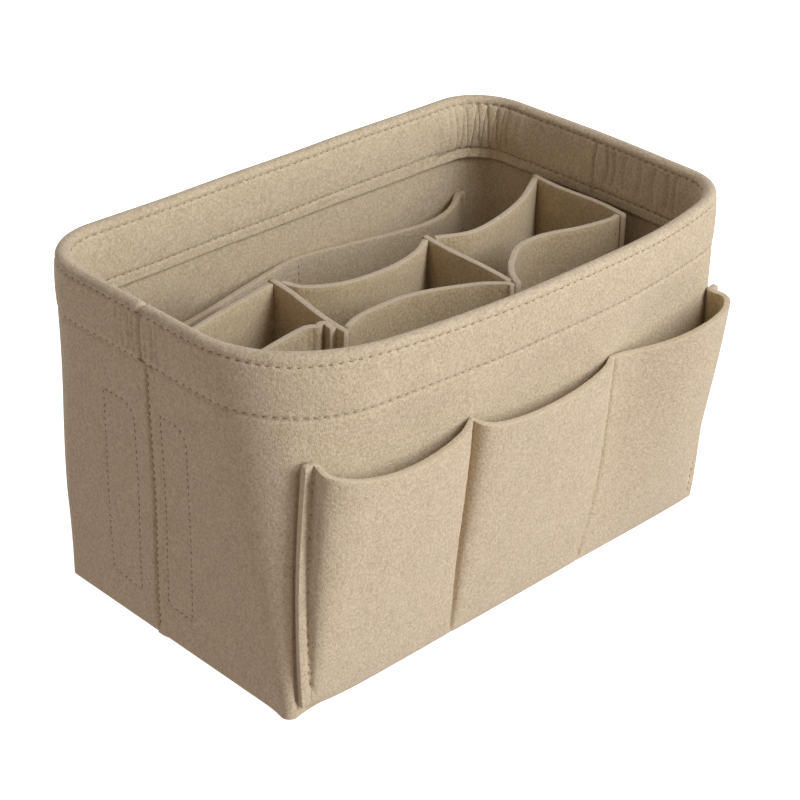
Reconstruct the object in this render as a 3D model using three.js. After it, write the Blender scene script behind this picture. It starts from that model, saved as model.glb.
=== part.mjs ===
// Felt purse organizer insert: an open felt box with a folded rim band, three slip pockets on the front,
// a slip pocket inside the rear wall, and a compartment unit that lifts out of two hook and loop strips.
// Millimetres, +Z up. X runs along the length and -Y is the pocketed front.
// The origin is the middle of the underside of the base.
import * as THREE from 'three';

// Felt, and the clearance between pieces that touch
const FELT = 3;
const GAP = 0.3;

// Outer size of the shell at the base and at the rim
const HEIGHT = 164;
const BASE_LENGTH = 260;
const BASE_DEPTH = 148;
const BASE_RADIUS = 5;
const RIM_LENGTH = 274;
const RIM_DEPTH = 165;

// The soft rim: its corners are rounder than the base's, and its sides bow outwards
const RIM_RADIUS_FRONT_LEFT = 56;
const RIM_RADIUS_FRONT_RIGHT = 28;
const RIM_RADIUS_REAR_RIGHT = 29;
const RIM_RADIUS_REAR_LEFT = 32;
const RIM_BOW_LEFT = 0.5;
const RIM_BOW_FRONT = 9.5;
const RIM_BOW_RIGHT = 1.5;
const RIM_BOW_REAR = 1.2;

// Rim band: how far it reaches down outside, to its seam with the wall, and inside, to its raw edge
const BAND_OUTSIDE = 25.8;
const BAND_INSIDE = 31.5;

// Where the seams cross the ends, measured along Y at the base
const WALL_SEAM_LEFT_Y = 10.6;
const WALL_SEAM_RIGHT_Y = 0;
const BAND_SEAM_LEFT_Y = 7.5;
const BAND_SEAM_RIGHT_Y = 1;

// How far the seam and the strips on the left end lean to the front from base to rim
const LEFT_LEAN = 7.5;

// Front pockets: one panel with a sewn line at each end and two between. From left to right, each line
// leans to the right by the top, and has its own height.
const POCKET_FOOT = 3.5;
const POCKET_FLANGE = 3.8;
const POCKET_LEFT_MARGIN = 8.5;
const POCKET_RIGHT_MARGIN = 8.2;
const LEFT_POCKET_WIDTH = 83;
const RIGHT_POCKET_WIDTH = 74.3;
const POCKET_LEANS = [4, -2.8, 0, 0];
const POCKET_TOPS = [120, 115, 112, 116];

// Rear inner pocket, below the band's raw edge, with one division
const REAR_POCKET_DROP = 19.5;
const REAR_POCKET_MARGIN = 11;
const REAR_POCKET_DIVISION_X = 9.5;

// Hook and loop strips on the left end
const LOOP = 2.4;
const HOOK = 1.8;
const STRIP_FOOT = 18;
const STRIP_DROP = 17.5;
const STRIP_MARGIN = 1;
const REAR_STRIP_Y = 32.5;
const REAR_STRIP_WIDTH = 19;
const FRONT_STRIP_Y = -4.3;
const FRONT_STRIP_WIDTH = 16;

// Compartment unit: cross walls placed from the right end, with a panel sewn near each edge
const UNIT_DROP = 28;
const RIGHT_CLEARANCE = 4.6;
const RIGHT_COMPARTMENT = 89;
const MIDDLE_COMPARTMENT = 83;
const CROSS_WALL_WIDTH = 61;
const CROSS_WALL_TAIL = 3;
const RIGHT_END_Y = 3.2;
const RIGHT_DIVIDER_Y = -10;
const LEFT_DIVIDER_Y = 5;
const RIGHT_END_TURN = 2.5;
const RIGHT_DIVIDER_TURN = 4.2;
const LEFT_DIVIDER_TURN = 8.3;
const FLANGE_BEND = 3;

// How far each unit panel bows into its compartment, and where along it that peaks
const REAR_LEFT_RUN = { bow: 0, skew: 1 };
const REAR_MIDDLE_RUN = { bow: 16, skew: 0.71 };
const REAR_RIGHT_RUN = { bow: 12, skew: 0.71 };
const FRONT_LEFT_RUN = { bow: 11.5, skew: 2.4 };
const FRONT_MIDDLE_RUN = { bow: 12, skew: 0.93 };
const FRONT_RIGHT_RUN = { bow: 17.5, skew: 0.72 };

// How far each pocket swells out at its top, where along it that peaks (1 is the middle, less is nearer its
// start, more is nearer its end) and how square its ends are (1 is a plain wave, less is squarer)
const LEFT_POCKET = { bulge: 15.5, skew: 0.52, squareness: 0.65 };
const MIDDLE_POCKET = { bulge: 9.7, skew: 0.55, squareness: 0.65 };
const RIGHT_POCKET = { bulge: 13.5, skew: 1.9, squareness: 0.55 };
const REAR_RIGHT_POCKET = { bulge: 13.3, skew: 1.8, squareness: 1 };
const REAR_LEFT_POCKET = { bulge: 16, skew: 0.6, squareness: 1 };
const POCKET_FALL = 0.8;

// Colours and finish of the felt and of the nylon strips
const FELT_COLOUR = 0xd1c0a5;
const FELT_ROUGHNESS = 0.95;
const STRIP_COLOUR = 0xc8b899;
const STRIP_ROUGHNESS = 0.8;

// Mesh steps: along a side, round a corner, across a pocket or panel, and round a fold
const SIDE_STEPS = 12;
const END_STEPS = 4;
const CORNER_STEPS = 8;
const POCKET_STEPS = 18;
const PANEL_STEPS = 12;
const STRIP_STEPS = 3;
const FLANGE_STEPS = 3;
const FOLD_STEPS = 6;
const LEVEL_STEPS = 6;
const HALVINGS = 40;

const QUARTER_TURN = Math.PI / 2;
const ROUND_HANDLE = (4 / 3) * (Math.SQRT2 - 1);
const FLOOR_TOP = FELT + GAP;
const WALL_TOP = HEIGHT - BAND_OUTSIDE;
const BAND_EDGE = HEIGHT - BAND_INSIDE;
const UNIT_TOP = HEIGHT - UNIT_DROP;
const REAR_POCKET_TOP = BAND_EDGE - REAR_POCKET_DROP;
const STRIP_TOP = BAND_EDGE - STRIP_DROP;

// Sides in the order that the outline is walked, anticlockwise from above, and the way each is walked
const WALK = [[0, -1], [1, 0], [0, 1], [-1, 0]].map(([x, y]) => new THREE.Vector2(x, y));
const [LEFT, FRONT, RIGHT, REAR] = WALK.keys();
const RIM_BOWS = [RIM_BOW_LEFT, RIM_BOW_FRONT, RIM_BOW_RIGHT, RIM_BOW_REAR];

// The corner that each of those sides ends in
const CORNERS = [[-1, -1], [1, -1], [1, 1], [-1, 1]];
const RIM_RADII = [
  RIM_RADIUS_FRONT_LEFT,
  RIM_RADIUS_FRONT_RIGHT,
  RIM_RADIUS_REAR_RIGHT,
  RIM_RADIUS_REAR_LEFT,
];

// Evenly spaced values from one number to another, both included
function spread(from, to, steps) {
  return Array.from({ length: steps + 1 }, (_, i) => THREE.MathUtils.lerp(from, to, i / steps));
}

// A point of a plan curve that is walked anticlockwise, with the way out of the shell there
function spotOn(curve, share) {
  const tangent = curve.getTangent(share);
  return { point: curve.getPoint(share), normal: new THREE.Vector2(tangent.y, -tangent.x) };
}

// The share of a curve at which its coordinate along a direction reaches a distance
function shareWhere(curve, direction, distance) {
  let low = 0;
  let high = 1;
  for (let i = 0; i < HALVINGS; i += 1) {
    const middle = (low + high) / 2;
    if (curve.getPoint(middle).dot(direction) < distance) low = middle;
    else high = middle;
  }
  return low;
}

// Outer outline of the shell at one height: bowed sides, and corners that run smoothly from side to side
function outline(z) {
  const mix = (base, rim) => THREE.MathUtils.lerp(base, rim, z / HEIGHT);
  const halfLength = mix(BASE_LENGTH, RIM_LENGTH) / 2;
  const halfDepth = mix(BASE_DEPTH, RIM_DEPTH) / 2;
  const bows = RIM_BOWS.map((bow) => mix(0, bow));
  const radii = RIM_RADII.map((radius) => mix(BASE_RADIUS, radius));
  const tips = CORNERS.map(([x, y]) => new THREE.Vector2(x * halfLength, y * halfDepth));
  const sides = WALK.map((direction, i) => {
    const from = tips.at(i - 1).clone().addScaledVector(direction, radii.at(i - 1));
    const to = tips[i].clone().addScaledVector(direction, -radii[i]);
    const outward = new THREE.Vector2(direction.y, -direction.x);
    const crown = from.clone().add(to).divideScalar(2).addScaledVector(outward, 2 * bows[i]);
    return new THREE.QuadraticBezierCurve(from, crown, to);
  });
  const corners = sides.map((side, i) => {
    const next = sides[(i + 1) % sides.length];
    const handle = ROUND_HANDLE * radii[i];
    const leave = side.v2.clone().addScaledVector(side.getTangent(1), handle);
    const arrive = next.v0.clone().addScaledVector(next.getTangent(0), -handle);
    return new THREE.CubicBezierCurve(side.v2, leave, arrive, next.v0);
  });

  // The spot on a side at a distance along its walking direction, carried on into the corners beside it
  function along(i, distance) {
    const direction = WALK[i];
    const start = sides[i].v0.dot(direction);
    const share = (distance - start) / (sides[i].v2.dot(direction) - start);
    if (share >= 0 && share <= 1) return spotOn(sides[i], share);
    const corner = share < 0 ? corners.at(i - 1) : corners[i];
    return spotOn(corner, shareWhere(corner, direction, distance));
  }

  // Share of an end's side at which it is crossed at y
  function endShare(i, y) {
    return (y - sides[i].v0.y) / (sides[i].v2.y - sides[i].v0.y);
  }

  const onSide = (i, share) => spotOn(sides[i], share);
  const onCorner = (i, share) => spotOn(corners[i], share);
  return { onSide, onCorner, along, endShare };
}

// Y of a mark on the left end, given where it would stand at the base
const leanAt = (y, z) => y - LEFT_LEAN * z / HEIGHT;

const inset = ({ point, normal }, distance) => point.clone().addScaledVector(normal, -distance);

// A closed sheet from two matching grids of points: at(i, j) gives its outer and inner point
function feltSheet(columns, rows, at) {
  const positions = [];
  const index = [];
  const vertex = (side, i, j) => (side * columns + i) * rows + j;
  const quad = (a, b, c, d) => index.push(a, b, c, a, c, d);
  for (const side of [0, 1]) {
    for (let i = 0; i < columns; i += 1) {
      for (let j = 0; j < rows; j += 1) positions.push(...at(i, j)[side].toArray());
    }
  }
  for (let i = 0; i < columns - 1; i += 1) {
    for (let j = 0; j < rows - 1; j += 1) {
      quad(vertex(0, i, j), vertex(0, i + 1, j), vertex(0, i + 1, j + 1), vertex(0, i, j + 1));
      quad(vertex(1, i, j), vertex(1, i, j + 1), vertex(1, i + 1, j + 1), vertex(1, i + 1, j));
    }
    const top = rows - 1;
    quad(vertex(0, i, 0), vertex(1, i, 0), vertex(1, i + 1, 0), vertex(0, i + 1, 0));
    quad(vertex(0, i, top), vertex(0, i + 1, top), vertex(1, i + 1, top), vertex(1, i, top));
  }
  for (let j = 0; j < rows - 1; j += 1) {
    const last = columns - 1;
    quad(vertex(0, 0, j), vertex(0, 0, j + 1), vertex(1, 0, j + 1), vertex(1, 0, j));
    quad(vertex(0, last, j), vertex(1, last, j), vertex(1, last, j + 1), vertex(0, last, j + 1));
  }
  const geometry = new THREE.BufferGeometry();
  geometry.setAttribute('position', new THREE.Float32BufferAttribute(positions, 3));
  geometry.setIndex(index);
  geometry.computeVertexNormals();
  return geometry;
}

// The two faces of a sheet whose middle line is given in plan. An end may be cut along a given direction.
function sheetFaces(line, thickness, cuts = []) {
  return line.map((point, i) => {
    const before = line[Math.max(i - 1, 0)];
    const after = line[Math.min(i + 1, line.length - 1)];
    const tangent = after.clone().sub(before).normalize();
    const across = new THREE.Vector2(tangent.y, -tangent.x);
    const cut = (i === 0 && cuts[0]) || (i === line.length - 1 && cuts[1]);
    const side = cut ? cut.clone().divideScalar(cut.dot(across)) : across;
    return [1, -1].map((sign) => point.clone().addScaledVector(side, sign * thickness / 2));
  });
}

// An upright sheet whose middle line in plan may change with height
function uprightSheet(lineAt, levels, thickness, cuts) {
  const faces = levels.map((z) => sheetFaces(lineAt(z), thickness, cuts));
  return feltSheet(faces[0].length, levels.length, (i, j) =>
    faces[j][i].map((point) => new THREE.Vector3(point.x, point.y, levels[j])));
}

const wave = (share, skew) => Math.max(Math.sin(Math.PI * share ** skew), 0);

function basePanel() {
  const plan = new THREE.Shape();
  const x = BASE_LENGTH / 2 - FELT - GAP;
  const y = BASE_DEPTH / 2 - FELT - GAP;
  const radius = Math.max(BASE_RADIUS - FELT, FELT / 2);
  plan.moveTo(-x + radius, -y);
  plan.absarc(x - radius, -y + radius, radius, -QUARTER_TURN, 0);
  plan.absarc(x - radius, y - radius, radius, 0, QUARTER_TURN);
  plan.absarc(-x + radius, y - radius, radius, QUARTER_TURN, Math.PI);
  plan.absarc(-x + radius, -y + radius, radius, Math.PI, Math.PI + QUARTER_TURN);
  const slab = { depth: FELT, bevelEnabled: false, curveSegments: CORNER_STEPS };
  return new THREE.ExtrudeGeometry(plan, slab);
}

// The outline points of the front or rear half of the shell, from one end seam to the other
function halfOutline(z, half, leftY, rightY) {
  const plan = outline(z);
  const [firstEnd, side, lastEnd] = half === FRONT ? [LEFT, FRONT, RIGHT] : [RIGHT, REAR, LEFT];
  const clear = half === FRONT ? -GAP / 2 : GAP / 2;
  const [firstY, lastY] = half === FRONT ? [leftY, rightY] : [rightY, leftY];
  const first = spread(plan.endShare(firstEnd, firstY + clear), 1, END_STEPS);
  const last = spread(0, plan.endShare(lastEnd, lastY + clear), END_STEPS);
  return [
    ...first.slice(0, -1).map((share) => plan.onSide(firstEnd, share)),
    ...spread(0, 1, CORNER_STEPS).map((share) => plan.onCorner(firstEnd, share)),
    ...spread(0, 1, SIDE_STEPS).slice(1, -1).map((share) => plan.onSide(side, share)),
    ...spread(0, 1, CORNER_STEPS).map((share) => plan.onCorner(side, share)),
    ...last.slice(1).map((share) => plan.onSide(lastEnd, share)),
  ];
}

function wallPanel(half) {
  const lineAt = (z) => halfOutline(z, half, leanAt(WALL_SEAM_LEFT_Y, z), WALL_SEAM_RIGHT_Y)
    .map((spot) => inset(spot, FELT / 2));
  return uprightSheet(lineAt, spread(0, WALL_TOP - GAP, LEVEL_STEPS), FELT);
}

// The band's fold in section, outside to inside: [inset from the outline, height] of both its faces
function bandFold() {
  const centre = FELT + GAP / 2;
  const bendHeight = HEIGHT - centre;
  const bend = spread(0, Math.PI, FOLD_STEPS).map((angle) => [centre, GAP / 2].map((radius) =>
    [centre - radius * Math.cos(angle), bendHeight + radius * Math.sin(angle)]));
  const outerFoot = [[0, WALL_TOP], [FELT, WALL_TOP]];
  const innerFoot = [[2 * centre, BAND_EDGE], [FELT + GAP, BAND_EDGE]];
  return [outerFoot, ...bend, innerFoot];
}

function rimBand(half) {
  const fold = bandFold();
  const spots = fold.map((pair) => pair.map(([depth, z]) =>
    halfOutline(z, half, BAND_SEAM_LEFT_Y, BAND_SEAM_RIGHT_Y).map((spot) => {
      const point = inset(spot, depth);
      return new THREE.Vector3(point.x, point.y, z);
    })));
  return feltSheet(spots[0][0].length, fold.length, (i, j) => spots[j].map((row) => row[i]));
}

// The columns of a pocket sheet: a flange, the pockets between the sewn lines, and a flange
function pocketColumns(lines, pockets) {
  const flange = (line, from, to) => spread(from, to, FLANGE_STEPS).map((shift) =>
    ({ ...line, x: line.x + shift, swell: 0 }));
  const columns = flange(lines[0], -POCKET_FLANGE, 0);
  pockets.forEach(({ bulge, skew, squareness }, i) => {
    const [from, to] = [lines[i], lines[i + 1]];
    for (const share of spread(0, 1, POCKET_STEPS).slice(1)) {
      const between = (key) => THREE.MathUtils.lerp(from[key], to[key], share);
      const swell = bulge * wave(share, skew) ** squareness;
      columns.push({ x: between('x'), lean: between('lean'), top: between('top'), swell });
    }
  });
  columns.push(...flange(lines.at(-1), 0, POCKET_FLANGE).slice(1));
  return columns;
}

// A pocket sheet along the front or rear. Its swelling grows from nothing at the foot.
function pocketSheet(face, foot, columns, seat, outward) {
  const walk = WALK[face].x;
  const heightAt = (column, share) => THREE.MathUtils.lerp(foot, column.top, share);
  const faces = spread(0, 1, LEVEL_STEPS).map((share) => {
    const line = columns.map((column) => {
      const spot = outline(heightAt(column, share)).along(face, walk * (column.x + column.lean * share));
      return inset(spot, seat - outward * column.swell * share ** POCKET_FALL);
    });
    return sheetFaces(line, FELT);
  });
  return feltSheet(columns.length, faces.length, (i, j) => faces[j][i].map((point) =>
    new THREE.Vector3(point.x, point.y, heightAt(columns[i], j / LEVEL_STEPS))));
}

function frontPocketPanel() {
  const left = -BASE_LENGTH / 2 + POCKET_LEFT_MARGIN;
  const right = BASE_LENGTH / 2 - POCKET_RIGHT_MARGIN;
  const feet = [left, left + LEFT_POCKET_WIDTH, right - RIGHT_POCKET_WIDTH, right];
  const lines = feet.map((x, i) => ({ x, lean: POCKET_LEANS[i], top: POCKET_TOPS[i] }));
  const columns = pocketColumns(lines, [LEFT_POCKET, MIDDLE_POCKET, RIGHT_POCKET]);
  return pocketSheet(FRONT, POCKET_FOOT, columns, -GAP - FELT / 2, 1);
}

function rearInnerPocketPanel() {
  const end = BASE_LENGTH / 2 - REAR_POCKET_MARGIN - POCKET_FLANGE;
  const lines = [-end, REAR_POCKET_DIVISION_X, end].map((x) => ({ x, lean: 0, top: REAR_POCKET_TOP }));
  const columns = pocketColumns(lines, [REAR_LEFT_POCKET, REAR_RIGHT_POCKET]).reverse();
  return pocketSheet(REAR, FLOOR_TOP, columns, FELT + GAP + FELT / 2, -1);
}

const REAR_STRIP = { y: REAR_STRIP_Y, width: REAR_STRIP_WIDTH };
const FRONT_STRIP = { y: FRONT_STRIP_Y, width: FRONT_STRIP_WIDTH };
const LOOP_SEAT = FELT + GAP;
const HOOK_SEAT = LOOP_SEAT + LOOP + GAP;
const UNIT_SEAT = HOOK_SEAT + HOOK + GAP;

// Points of the left end across a leaning strip, a given depth inside the outline, walked from rear to front
function leftEndLine(z, strip, margin, depth) {
  const plan = outline(z);
  const middle = leanAt(strip.y, z);
  const half = strip.width / 2 + margin;
  return spread(middle + half, middle - half, STRIP_STEPS).map((y) => inset(plan.along(LEFT, -y), depth));
}

function fastenerStrip(strip, seat, thickness) {
  const lineAt = (z) => leftEndLine(z, strip, 0, seat + thickness / 2);
  return uprightSheet(lineAt, spread(STRIP_FOOT, STRIP_TOP, LEVEL_STEPS), thickness);
}

// The unit's cross walls, each a felt plate turned a little about +Z. The one at the right end stays clear of
// the shell where the shell is shortest, at the base or at the unit's top.
const UNIT_TOP_LENGTH = THREE.MathUtils.lerp(BASE_LENGTH, RIM_LENGTH, UNIT_TOP / HEIGHT);
const RIGHT_END_X = Math.min(BASE_LENGTH, UNIT_TOP_LENGTH) / 2 - FELT - RIGHT_CLEARANCE;
const RIGHT_DIVIDER_X = RIGHT_END_X - RIGHT_COMPARTMENT;
const LEFT_DIVIDER_X = RIGHT_DIVIDER_X - MIDDLE_COMPARTMENT;
const UNIT_HEIGHT = UNIT_TOP - FLOOR_TOP;

function crossWall(x, y, turn) {
  const angle = -THREE.MathUtils.degToRad(turn);
  const toRear = new THREE.Vector2(-Math.sin(angle), Math.cos(angle));
  const toRight = new THREE.Vector2(toRear.y, -toRear.x);
  const centre = new THREE.Vector2(x, y);
  const reach = CROSS_WALL_WIDTH / 2 - CROSS_WALL_TAIL;

  // Where a panel meets the plate: end 1 is the rear, -1 the front; face 1 is the right, -1 the left
  const seat = (end, face) => centre.clone()
    .addScaledVector(toRear, end * reach)
    .addScaledVector(toRight, face * (FELT / 2 + GAP));
  return { centre, angle, toRear, seat };
}

const rightEnd = crossWall(RIGHT_END_X, RIGHT_END_Y, RIGHT_END_TURN);
const rightDivider = crossWall(RIGHT_DIVIDER_X, RIGHT_DIVIDER_Y, RIGHT_DIVIDER_TURN);
const leftDivider = crossWall(LEFT_DIVIDER_X, LEFT_DIVIDER_Y, LEFT_DIVIDER_TURN);
const REAR_SIDE = 1;
const FRONT_SIDE = -1;

// A run between two points that bows to its left (positive) or right (negative)
function bowedRun(from, to, bow, skew) {
  const run = to.clone().sub(from);
  const left = new THREE.Vector2(-run.y, run.x).normalize();
  return spread(0, 1, PANEL_STEPS).map((s) => from.clone()
    .addScaledVector(run, s)
    .addScaledVector(left, bow * wave(s, skew)));
}

function unitPanel(side, startWall, endWall, { bow, skew }) {
  const line = bowedRun(startWall.seat(side, 1), endWall.seat(side, -1), -side * bow, skew);
  const cuts = [startWall, endWall].map((wall) => wall.toRear);
  return uprightSheet(() => line, spread(FLOOR_TOP, UNIT_TOP, 1), FELT, cuts);
}

// A left panel: a flange along the left end, a bend, and a run to the left divider
function unitLeftPanel(side, strip, { bow, skew }) {
  const lineAt = (z) => {
    const flange = leftEndLine(z, strip, STRIP_MARGIN, UNIT_SEAT + FELT / 2);
    const corner = flange.at(-1);
    const runStart = new THREE.Vector2(corner.x + FLANGE_BEND, corner.y - FLANGE_BEND);
    const bendTip = new THREE.Vector2(corner.x, runStart.y);
    const bend = new THREE.QuadraticBezierCurve(corner, bendTip, runStart);
    const run = bowedRun(runStart, leftDivider.seat(side, -1), -side * bow, skew);
    return [...flange, ...bend.getPoints(FOLD_STEPS).slice(1), ...run.slice(1)];
  };
  const cuts = [null, leftDivider.toRear];
  return uprightSheet(lineAt, spread(FLOOR_TOP, UNIT_TOP, LEVEL_STEPS), FELT, cuts);
}

const organizer = new THREE.Group();

function add(name, geometry, color = FELT_COLOUR, roughness = FELT_ROUGHNESS) {
  const material = new THREE.MeshStandardMaterial({ color, roughness, metalness: 0 });
  const mesh = new THREE.Mesh(geometry, material);
  mesh.name = name;
  organizer.add(mesh);
  return mesh;
}

function addStrip(name, geometry) {
  add(name, geometry, STRIP_COLOUR, STRIP_ROUGHNESS);
}

function addCrossWall(name, wall) {
  const plate = add(name, new THREE.BoxGeometry(FELT, CROSS_WALL_WIDTH, UNIT_HEIGHT));
  plate.position.set(wall.centre.x, wall.centre.y, FLOOR_TOP + UNIT_HEIGHT / 2);
  plate.rotation.z = wall.angle;
}

// Shell
add('base_panel', basePanel());
add('front_wall_panel', wallPanel(FRONT));
add('rear_wall_panel', wallPanel(REAR));
add('front_rim_band', rimBand(FRONT));
add('rear_rim_band', rimBand(REAR));
add('front_pocket_panel', frontPocketPanel());
add('rear_inner_pocket_panel', rearInnerPocketPanel());
addStrip('rear_loop_strip', fastenerStrip(REAR_STRIP, LOOP_SEAT, LOOP));
addStrip('front_loop_strip', fastenerStrip(FRONT_STRIP, LOOP_SEAT, LOOP));

// Compartment unit
addStrip('rear_hook_strip', fastenerStrip(REAR_STRIP, HOOK_SEAT, HOOK));
addStrip('front_hook_strip', fastenerStrip(FRONT_STRIP, HOOK_SEAT, HOOK));
addCrossWall('unit_right_end_wall', rightEnd);
addCrossWall('unit_divider_right', rightDivider);
addCrossWall('unit_divider_left', leftDivider);
add('unit_rear_panel_left', unitLeftPanel(REAR_SIDE, REAR_STRIP, REAR_LEFT_RUN));
add('unit_rear_panel_middle', unitPanel(REAR_SIDE, leftDivider, rightDivider, REAR_MIDDLE_RUN));
add('unit_rear_panel_right', unitPanel(REAR_SIDE, rightDivider, rightEnd, REAR_RIGHT_RUN));
add('unit_front_panel_left', unitLeftPanel(FRONT_SIDE, FRONT_STRIP, FRONT_LEFT_RUN));
add('unit_front_panel_middle', unitPanel(FRONT_SIDE, leftDivider, rightDivider, FRONT_MIDDLE_RUN));
add('unit_front_panel_right', unitPanel(FRONT_SIDE, rightDivider, rightEnd, FRONT_RIGHT_RUN));

export default organizer;
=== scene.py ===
import math
import random

import bmesh
import bpy
import numpy as np
from mathutils import Matrix, Vector
from mathutils.kdtree import KDTree


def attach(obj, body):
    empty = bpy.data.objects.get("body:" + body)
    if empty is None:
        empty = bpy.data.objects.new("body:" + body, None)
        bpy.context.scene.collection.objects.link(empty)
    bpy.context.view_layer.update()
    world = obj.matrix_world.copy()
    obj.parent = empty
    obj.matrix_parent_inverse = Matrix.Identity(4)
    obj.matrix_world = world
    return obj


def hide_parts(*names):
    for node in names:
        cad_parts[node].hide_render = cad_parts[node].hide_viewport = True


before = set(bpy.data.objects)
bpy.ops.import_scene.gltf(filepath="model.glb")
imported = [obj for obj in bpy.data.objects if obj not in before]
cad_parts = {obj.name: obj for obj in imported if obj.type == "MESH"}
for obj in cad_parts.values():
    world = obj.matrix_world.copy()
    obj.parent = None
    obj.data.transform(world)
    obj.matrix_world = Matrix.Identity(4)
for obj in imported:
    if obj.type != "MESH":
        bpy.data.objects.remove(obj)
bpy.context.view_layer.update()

scene = bpy.context.scene
scene.view_settings.view_transform = "Standard"  # keeps the pale floor and the beige as they are lit
mm = 0.001  # sizes below are in millimetres


def setInputs(node, values):
    for name, value in values.items():
        node.inputs[name].default_value = value


def addNode(tree, kind, values=None, links=None):
    node = tree.nodes.new("ShaderNode" + kind)
    setInputs(node, values or {})
    for name, source in (links or {}).items():
        tree.links.new(source, node.inputs[name])
    return node


def meshObject(name, bm, *materials):
    mesh = bpy.data.meshes.new(name)
    bm.to_mesh(mesh)
    bm.free()
    for material in materials:
        mesh.materials.append(material)
    piece = bpy.data.objects.new(name, mesh)
    scene.collection.objects.link(piece)
    return piece


def newMaterial(name):
    material = bpy.data.materials.new(name)
    material.use_nodes = True
    return material, material.node_tree


def direction(turn, rise):  # the way to a camera or light, turned to the right from the front and raised, in degrees
    turn, rise = math.radians(turn), math.radians(rise)
    return Vector((math.sin(turn) * math.cos(rise), -math.cos(turn) * math.cos(rise), math.sin(rise)))


# the photograph's viewpoint
viewpoint = dict(azimuth=-45.123, elevation=29.862, roll=1.525, distance=994.5,
                 lookHeight=80, shiftRight=2.812, shiftUp=-7.751, focalPixels=2199, imagePixels=800, sensor=36,
                 nearClip=0.05)


def makeCamera():
    back, roll = direction(viewpoint["azimuth"], viewpoint["elevation"]), math.radians(viewpoint["roll"])
    level = Vector((0, 0, 1)).cross(back).normalized()
    steep = back.cross(level)
    right = level * math.cos(roll) + steep * math.sin(roll)
    up = steep * math.cos(roll) - level * math.sin(roll)
    eye = Vector((0, 0, viewpoint["lookHeight"])) + right * viewpoint["shiftRight"] + up * viewpoint["shiftUp"]
    eye += back * viewpoint["distance"]
    lens = bpy.data.cameras.new("photoCamera")
    lens.sensor_width = viewpoint["sensor"]
    lens.lens = viewpoint["focalPixels"] / viewpoint["imagePixels"] * viewpoint["sensor"]
    lens.clip_start = viewpoint["nearClip"]
    camera = bpy.data.objects.new("photoCamera", lens)
    camera.matrix_world = Matrix.Translation(eye * mm) @ Matrix((right, up, back)).transposed().to_4x4()
    scene.collection.objects.link(camera)
    scene.camera = camera


makeCamera()
print("camera placed")


# stage: pale floor, a soft key from the front right, a weaker light behind, weak fill all round
studio = dict(
    floorSize=9.0, floorColour=(0.93, 0.93, 0.93), floorGlow=0.9, backdropColour=(1, 1, 1),
    lightDistance=2.0, lightAim=0.08, lightColour=(0.79, 0.835, 1.0),
    keyTurn=18, keyRise=30, keySize=(0.65, 1.9), keyPower=52,
    backTurn=170, backRise=16, backSize=(1.6, 1.0), backPower=16,
    fillColour=(1.0, 0.88, 0.97), fillStrength=0.55, skyStrength=0.3, skyFrom=-0.4, skyTo=0.6)


def makeStage():
    paint, paintTree = newMaterial("floorPaint")
    setInputs(paintTree.nodes["Principled BSDF"], {
        "Base Color": (*studio["floorColour"], 1), "Roughness": 1, "Specular IOR Level": 0,
        "Emission Color": (1, 1, 1, 1), "Emission Strength": studio["floorGlow"]})
    bm = bmesh.new()
    bmesh.ops.create_grid(bm, x_segments=2, y_segments=2, size=studio["floorSize"] / 2)
    floor = meshObject("floor", bm, paint)
    floor.visible_diffuse = False  # the floor shows white without lighting the felt from below

    for name in ("key", "back"):
        lamp = bpy.data.lights.new(name + "Light", "AREA")
        lamp.shape = "RECTANGLE"
        lamp.size, lamp.size_y = studio[name + "Size"]
        lamp.energy = studio[name + "Power"]
        lamp.color = studio["lightColour"]
        light = bpy.data.objects.new(name + "Light", lamp)
        toLight = direction(studio[name + "Turn"], studio[name + "Rise"])
        place = toLight * studio["lightDistance"] + Vector((0, 0, studio["lightAim"]))
        light.matrix_world = Matrix.Translation(place) @ (-toLight).to_track_quat("-Z", "Y").to_matrix().to_4x4()
        scene.collection.objects.link(light)

    world = bpy.data.worlds.new("softRoom")
    scene.world = world
    world.use_nodes = True
    tree = world.node_tree
    split = addNode(tree, "SeparateXYZ", {}, {0: addNode(tree, "TexCoord").outputs["Generated"]})
    ramp = addNode(tree, "MapRange", {"From Min": studio["skyFrom"], "From Max": studio["skyTo"],
                                      "To Min": studio["fillStrength"], "To Max": studio["skyStrength"]},
                   {"Value": split.outputs["Z"]})  # pale floor below, dimmer room above
    fill = tree.nodes["Background"]
    setInputs(fill, {"Color": (*studio["fillColour"], 1)})
    tree.links.new(ramp.outputs["Result"], fill.inputs["Strength"])
    plain = addNode(tree, "Background", {"Color": (*studio["backdropColour"], 1)})
    seen = addNode(tree, "LightPath").outputs["Is Camera Ray"]
    either = addNode(tree, "MixShader", {}, {0: seen, 1: fill.outputs[0], 2: plain.outputs[0]})
    tree.links.new(either.outputs[0], tree.nodes["World Output"].inputs["Surface"])


makeStage()
print("stage lit")


# felt: matted fibres, so a light and dark fleck, a broader cloudiness and a fuzzy bump
feltFinish = dict(dark=(0.41, 0.318, 0.176), light=(0.665, 0.545, 0.333), fleckSize=1.3, fibreSize=0.42,
                  fibreStretch=(1, 1, 0.45), fibreShare=0.4, cloudSize=9, cloudShare=0.1, toneRange=(0.34, 0.62),
                  bumpDepth=0.55, roughness=0.95, specular=0.1, sheen=0.12, sheenRoughness=0.6)
# a warmer, deeper copy of the felt for the compartment unit inside the shell: painted warm shade of the light bounced
# between the felt walls
shadeTintedFinish = dict(feltFinish, dark=(0.41, 0.311, 0.16), light=(0.665, 0.533, 0.303))
# cut edges paler than the faces: partly the raw fibres, partly a painted highlight where the edges catch the light
cutFinishWithHighlight = dict(feltFinish, dark=(0.47, 0.372, 0.215), light=(0.71, 0.593, 0.375), fleckSize=0.7, bumpDepth=0.4)
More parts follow.
